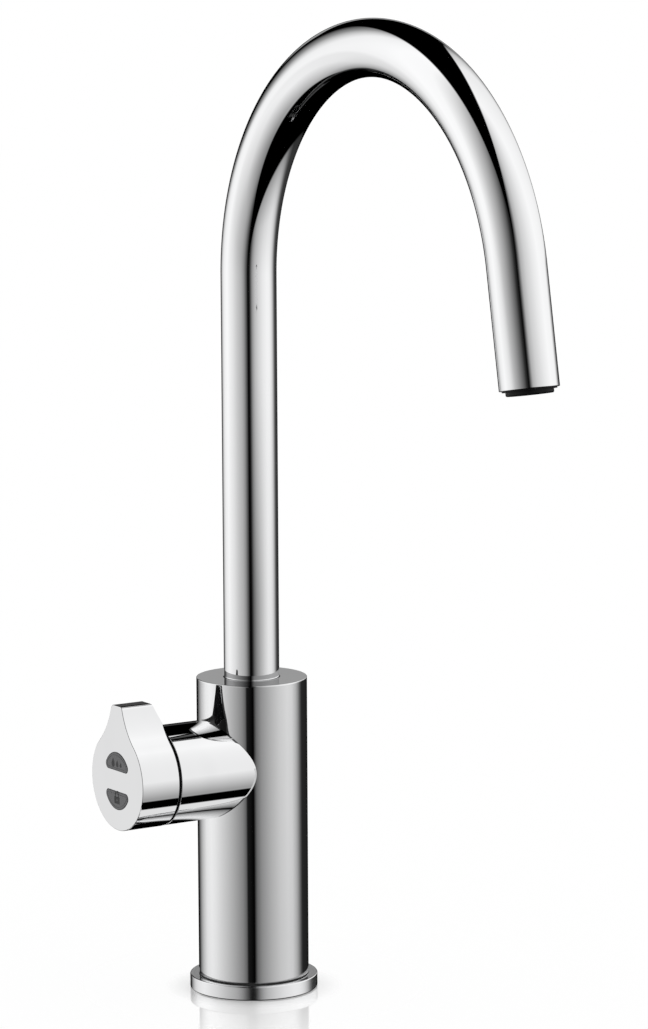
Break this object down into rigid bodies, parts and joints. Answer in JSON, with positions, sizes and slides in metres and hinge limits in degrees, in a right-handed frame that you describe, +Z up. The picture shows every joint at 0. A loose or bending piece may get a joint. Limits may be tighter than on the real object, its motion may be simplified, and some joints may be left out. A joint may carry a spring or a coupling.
{
  "type": "boiling water tap",
  "caption": "Chrome boiling water tap with a tall swivelling gooseneck spout on a round body, and a side lever that carries two half-moon push buttons.",
  "frame": {"origin": "centre of the underside of the base, on the worktop, on the axis of the body and of the central inlet", "axes": "+Z up along the body; the spout reaches towards -Y, to the front; the side arm points towards -X"},
  "size_m": [0.1, 0.2569, 0.4418],
  "materials": {
    "chrome": "mirror polished plating",
    "core_brass": "machined",
    "valve_steel": "machined stainless",
    "zinc": null,
    "seal_rubber": "smooth",
    "silicone": "translucent silicone",
    "black_acetal": "satin moulded",
    "white_acetal": "satin moulded",
    "button_plastic": "smoked translucent, satin",
    "ceramic": null,
    "circuit_board": "solder mask",
    "screw_steel": "blackened steel"
  },
  "bodies": {
    "body": {"base_flange": "chrome", "base_seal": "seal_rubber", "tap_core": "core_brass", "body_shell": "chrome", "lead_grommet": "seal_rubber", "upper_swivel_bearing": "white_acetal", "boiling_tube_seal": "seal_rubber", "swivel_stop_screw": "screw_steel", "side_arm": "chrome", "valve_housing": "core_brass", "housing_seal": "seal_rubber", "valve_cartridge": "white_acetal", "cartridge_seal": "seal_rubber", "fixed_ceramic_disc": "ceramic", "spindle_seal": "seal_rubber", "cartridge_nut": "core_brass", "arm_spacer_ring": "black_acetal"},
    "spout": {"spout_tube": "chrome", "spout_journal": "core_brass", "lower_swivel_bearing": "white_acetal", "spout_seals": "seal_rubber", "boiling_water_tube": "valve_steel", "nozzle_holder": "core_brass", "nozzle_seal": "seal_rubber", "outlet_insert": "black_acetal", "flow_straightener": "black_acetal"},
    "handle": {"handle_shell": "chrome", "handle_hub": "zinc", "hub_screws": "screw_steel", "handle_grub_screw": "screw_steel", "valve_spindle": "core_brass", "moving_ceramic_disc": "ceramic", "switch_board": "circuit_board", "tact_switches": "black_acetal", "button_membrane": "silicone"},
    "select_button": {"select_button": "button_plastic"},
    "safety_button": {"safety_button": "button_plastic"}
  },
  "joints": [
    {"name": "spout_swivel", "type": "hinge", "parent": "body", "child": "spout", "pos_m": [0, 0, 0], "axis": [0, 0, 1], "range_deg": [-90, 90]},
    {"name": "handle_turn", "type": "hinge", "parent": "body", "child": "handle", "pos_m": [-0.0604, 0, 0.1033], "axis": [1, 0, 0], "range_deg": [0, 90]},
    {"name": "select_press", "type": "slide", "parent": "handle", "child": "select_button", "axis": [1, 0, 0], "range_m": [0, 0.0006], "stiffness_N_per_m": 3000, "springref_m": -0.0002},
    {"name": "safety_press", "type": "slide", "parent": "handle", "child": "safety_button", "axis": [1, 0, 0], "range_m": [0, 0.0006], "stiffness_N_per_m": 3000, "springref_m": -0.0002}
  ]
}
